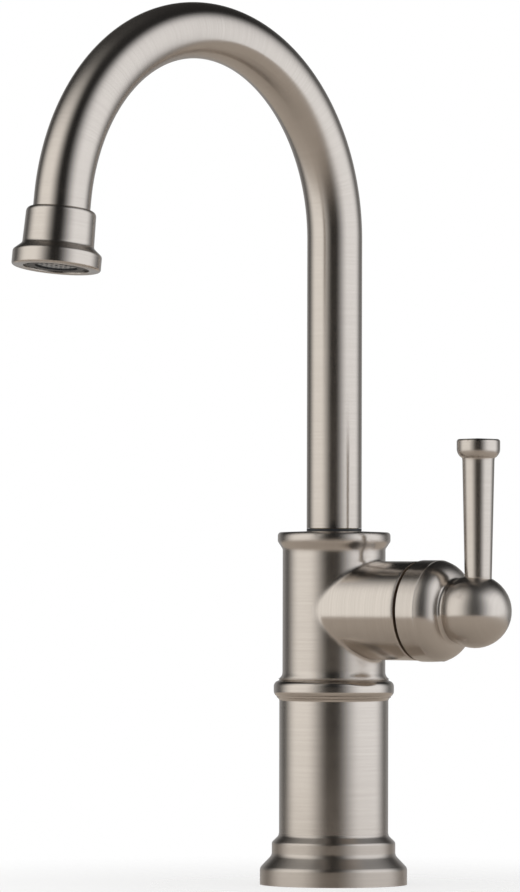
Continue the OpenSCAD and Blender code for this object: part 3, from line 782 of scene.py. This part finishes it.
CAMERA_PLACE = Vector((1.5172, -2.1393, 0.1324))
CAMERA_AZIMUTH = math.radians(36.0)
CAMERA_PITCH = 0.0169  # radians, as the roll
CAMERA_ROLL = 0.0022
LENS, SENSOR = 262.2, 36.0  # millimetres
CLIP_START, CLIP_END = 0.1, 20.0
STAGE_SIDES = 128  # corners of the round floor and table
FLOOR_R = 0.3
FADE_START, FADE_END = 0.04, 0.26  # distances between which the floor fades out
FLOOR_COVER = 0.3  # how much of the white background the floor covers under the faucet
TABLE_R = 0.7  # its edge shows as the horizon in the metal
TABLE_Z = -0.035
STUDIO_AZIMUTH = math.atan2(CAMERA_PLACE.x, -CAMERA_PLACE.y)  # the front, where the photo is taken
FLAG = (0.02, 0.02, 0.02)  # light that the black flags still give back
DULL_SHARE = 0.75  # how much of the white all round reaches dull surfaces
BEHIND_SHARE = 0.35  # how much of it the metal shows from behind the faucet
BEHIND_ANGLES = (110, 165)  # degrees from the front, between which that white comes in
BEHIND_HEIGHTS = (5, 30)  # degrees above the level, between which it goes out
# The angles at which a soft box starts and is full, its brightness, the angle at which its side and its
# top start to fade, each with its spread, and the shares of the spreads between which it fades out.
RIGHT_BOX = dict(inner=4, outer=58, brightness=1.18, side=(70, 50), top=(19, 36), edge=(0.5, 1.4))
LEFT_BOX = dict(inner=10, outer=60, brightness=1.08, side=(68, 44), top=(22, 40), edge=(0.4, 1.5))


def ramp(tree, value, start, end, low, high):
    """A smooth step of a value between two angles in degrees."""
    inputs = {
        "Value": value,
        "From Min": math.radians(start),
        "From Max": math.radians(end),
        "To Min": low,
        "To Max": high,
    }
    return add_node(tree, "ShaderNodeMapRange", inputs, interpolation_type="SMOOTHSTEP")


def past(tree, value, limit, spread_angle):
    """How far an angle is past a limit, as a share of a spread, both in degrees."""
    start, end = math.radians(limit), math.radians(limit + spread_angle)
    inputs = {"Value": value, "From Min": start, "From Max": end, "To Max": 1.0}
    share = add_node(tree, "ShaderNodeMapRange", inputs, clamp=False)
    return add_node(tree, "ShaderNodeMath", {0: share, 1: 0.0}, operation="MAXIMUM")


def soft_box(tree, azimuth, elevation, inner, outer, brightness, side, top, edge):
    """The light of a soft box, with its angles in degrees."""
    beyond = {0: past(tree, azimuth, *side), 1: past(tree, elevation, *top)}
    corner = add_node(tree, "ShaderNodeCombineXYZ", beyond)
    far = add_node(tree, "ShaderNodeVectorMath", {0: corner}, operation="LENGTH").outputs["Value"]
    inputs = {"Value": far, "From Min": edge[0], "From Max": edge[1], "To Min": 1.0, "To Max": 0.0}
    fade = add_node(tree, "ShaderNodeMapRange", inputs, interpolation_type="SMOOTHSTEP")
    light = ramp(tree, azimuth, inner, outer, 0.0, brightness)
    return add_node(tree, "ShaderNodeMath", {0: light, 1: fade}, operation="MULTIPLY")


class FAUCET_OT_stage(bpy.types.Operator):
    """Set up the floor, the studio's light and the camera"""

    bl_idname = "faucet.stage"
    bl_label = "Stage"

    def execute(self, context):
        self.make_floor(context)
        self.make_table(context)
        self.make_studio(context)
        self.make_camera(context)
        context.scene.view_settings.view_transform = "Standard"
        return {"FINISHED"}

    def disc(self, name, radius, height, finish):
        """Make a round stage piece, and start its material with the kinds of ray and a clear shader."""
        deselect()
        bpy.ops.mesh.primitive_circle_add(
            vertices=STAGE_SIDES, radius=radius, fill_type="NGON", location=(0, 0, height)
        )
        piece = bpy.context.object
        piece.name = piece.data.name = name
        material, tree = new_material(finish)
        tree.nodes.remove(tree.nodes["Principled BSDF"])
        piece.data.materials.append(material)
        rays = add_node(tree, "ShaderNodeLightPath").outputs
        return tree, rays, add_node(tree, "ShaderNodeBsdfTransparent")

    def make_floor(self, context):
        """A pale round floor that fades into the white background and keeps the faucet's shadow."""
        tree, rays, clear = self.disc("floor", FLOOR_R, 0.0, "Pale studio floor")
        place = add_node(tree, "ShaderNodeTexCoord").outputs["Object"]
        distance = add_node(tree, "ShaderNodeVectorMath", {0: place}, operation="LENGTH")
        inputs = {
            "Value": distance.outputs["Value"],
            "From Min": FADE_START,
            "From Max": FADE_END,
            "To Min": FLOOR_COVER,
            "To Max": 0.0,
        }
        cover = add_node(tree, "ShaderNodeMapRange", inputs, interpolation_type="SMOOTHSTEP")
        matte = add_node(tree, "ShaderNodeBsdfDiffuse", {"Color": context.scene.faucet_finish.floor})
        pale = add_node(tree, "ShaderNodeMixShader", {"Fac": cover, 1: clear, 2: matte})
        shown = add_node(tree, "ShaderNodeMixShader", {"Fac": rays["Is Glossy Ray"], 1: pale, 2: clear})
        set_inputs(tree, tree.nodes["Material Output"], {"Surface": shown})

    def make_table(self, context):
        """A warm grey table that only the metal and the light meet, a little under the floor."""
        tree, rays, clear = self.disc("table", TABLE_R, TABLE_Z, "Warm grey table")
        grey = add_node(tree, "ShaderNodeBsdfDiffuse", {"Color": context.scene.faucet_finish.table})
        met = {0: rays["Is Glossy Ray"], 1: rays["Is Shadow Ray"]}
        solid = add_node(tree, "ShaderNodeMath", met, operation="MAXIMUM")
        shown = add_node(tree, "ShaderNodeMixShader", {"Fac": solid, 1: clear, 2: grey})
        set_inputs(tree, tree.nodes["Material Output"], {"Surface": shown})

    def make_studio(self, context):
        """Two tall soft boxes between black flags, which light the faucet and show in its metal.

        The camera and clear matter see plain white instead, dull surfaces see most of it, and the metal
        sees some of it from behind. A shadow ray is none of these kinds, so it meets the boxes and flags.
        """
        finish = context.scene.faucet_finish
        world = bpy.data.worlds.new("Studio")
        context.scene.world = world
        world.use_nodes = True
        tree = world.node_tree
        azimuth, elevation = self.angles(tree)
        mirrored = add_node(tree, "ShaderNodeMath", {0: azimuth, 1: -1.0}, operation="MULTIPLY")
        either = add_node(tree, "ShaderNodeMath", {0: azimuth}, operation="ABSOLUTE")
        right = soft_box(tree, azimuth, elevation, **RIGHT_BOX)
        left = soft_box(tree, mirrored, elevation, **LEFT_BOX)
        studio = FLAG
        for box, tone in ((right, finish.right_light), (left, finish.left_light)):
            lit = add_node(tree, "ShaderNodeVectorMath", {0: tone[:3], "Scale": box}, operation="SCALE")
            studio = add_node(tree, "ShaderNodeVectorMath", {0: lit, 1: studio}, operation="ADD")
        rays = add_node(tree, "ShaderNodeLightPath").outputs
        white = rays["Is Glossy Ray"]
        for share in (
            ramp(tree, either, *BEHIND_ANGLES, 0.0, BEHIND_SHARE),
            ramp(tree, elevation, *BEHIND_HEIGHTS, 1.0, 0.0),
        ):
            white = add_node(tree, "ShaderNodeMath", {0: white, 1: share}, operation="MULTIPLY")
        dull = add_node(
            tree, "ShaderNodeMath", {0: rays["Is Diffuse Ray"], 1: DULL_SHARE}, operation="MULTIPLY"
        )
        for share in (dull, rays["Is Camera Ray"], rays["Is Transmission Ray"]):
            white = add_node(tree, "ShaderNodeMath", {0: white, 1: share}, operation="MAXIMUM")
        colours = {"Factor": white, 6: studio, 7: (1.0, 1.0, 1.0, 1.0)}  # sockets 6 and 7 hold colours
        seen = add_node(tree, "ShaderNodeMix", colours, data_type="RGBA").outputs[2]
        set_inputs(tree, tree.nodes["Background"], {"Color": seen, "Strength": 1.0})
        set_inputs(tree, tree.nodes["World Output"], {"Surface": tree.nodes["Background"]})

    def angles(self, tree):
        """A direction's angle from the front of the studio, positive to the right, and its elevation."""
        direction = add_node(tree, "ShaderNodeTexCoord").outputs["Generated"]
        right = (math.cos(STUDIO_AZIMUTH), math.sin(STUDIO_AZIMUTH), 0)
        front = (math.sin(STUDIO_AZIMUTH), -math.cos(STUDIO_AZIMUTH), 0)
        parts = [
            add_node(tree, "ShaderNodeVectorMath", {0: direction, 1: way}, operation="DOT_PRODUCT")
            for way in (right, front)
        ]
        shares = {key: part.outputs["Value"] for key, part in enumerate(parts)}
        azimuth = add_node(tree, "ShaderNodeMath", shares, operation="ARCTAN2")
        height = add_node(tree, "ShaderNodeSeparateXYZ", {0: direction}).outputs["Z"]
        return azimuth, add_node(tree, "ShaderNodeMath", {0: height}, operation="ARCSINE")

    def make_camera(self, context):
        """The photograph's view: a long lens at the height of the pedestal."""
        data = bpy.data.cameras.new("camera")
        camera = bpy.data.objects.new("camera", data)
        context.scene.collection.objects.link(camera)
        data.lens, data.sensor_width = LENS, SENSOR
        data.clip_start, data.clip_end = CLIP_START, CLIP_END
        right = Vector((math.cos(CAMERA_AZIMUTH), math.sin(CAMERA_AZIMUTH), 0))
        away = Vector((-math.sin(CAMERA_AZIMUTH), math.cos(CAMERA_AZIMUTH), 0))
        view = away * math.cos(CAMERA_PITCH) + UP * math.sin(CAMERA_PITCH)
        up = right.cross(view)
        side = right * math.cos(CAMERA_ROLL) + up * math.sin(CAMERA_ROLL)
        turn = Matrix((side, side.cross(view), -view)).transposed().to_4x4()
        camera.matrix_world = Matrix.Translation(CAMERA_PLACE) @ turn
        context.scene.camera = camera


# ---------------------------------------------------------------- panel and registration

OPERATORS = (
    FAUCET_OT_inner_finishes,
    FAUCET_OT_base_flange,
    FAUCET_OT_pedestal,
    FAUCET_OT_valve_body,
    FAUCET_OT_spout_tube,
    FAUCET_OT_outlet,
    FAUCET_OT_handle,
    FAUCET_OT_lever,
    FAUCET_OT_stage,
)


class FAUCET_PT_panel(bpy.types.Panel):
    """Buttons for the faucet's pieces"""

    bl_idname = "FAUCET_PT_panel"
    bl_label = "Bar faucet"
    bl_space_type = "VIEW_3D"
    bl_region_type = "UI"
    bl_category = "Faucet"

    def draw(self, context):
        for operator in OPERATORS:
            self.layout.operator(operator.bl_idname)


CLASSES = (FaucetSizes, FaucetFinish) + OPERATORS + (FAUCET_PT_panel,)


def register():
    for item in CLASSES:
        bpy.utils.register_class(item)
    bpy.types.Scene.faucet_sizes = PointerProperty(type=FaucetSizes)
    bpy.types.Scene.faucet_finish = PointerProperty(type=FaucetFinish)


def unregister():
    del bpy.types.Scene.faucet_finish
    del bpy.types.Scene.faucet_sizes
    for item in reversed(CLASSES):
        bpy.utils.unregister_class(item)


def main():
    register()
    for operator in OPERATORS:
        getattr(bpy.ops.faucet, operator.bl_idname.removeprefix("faucet."))()


if __name__ == "__main__":
    main()
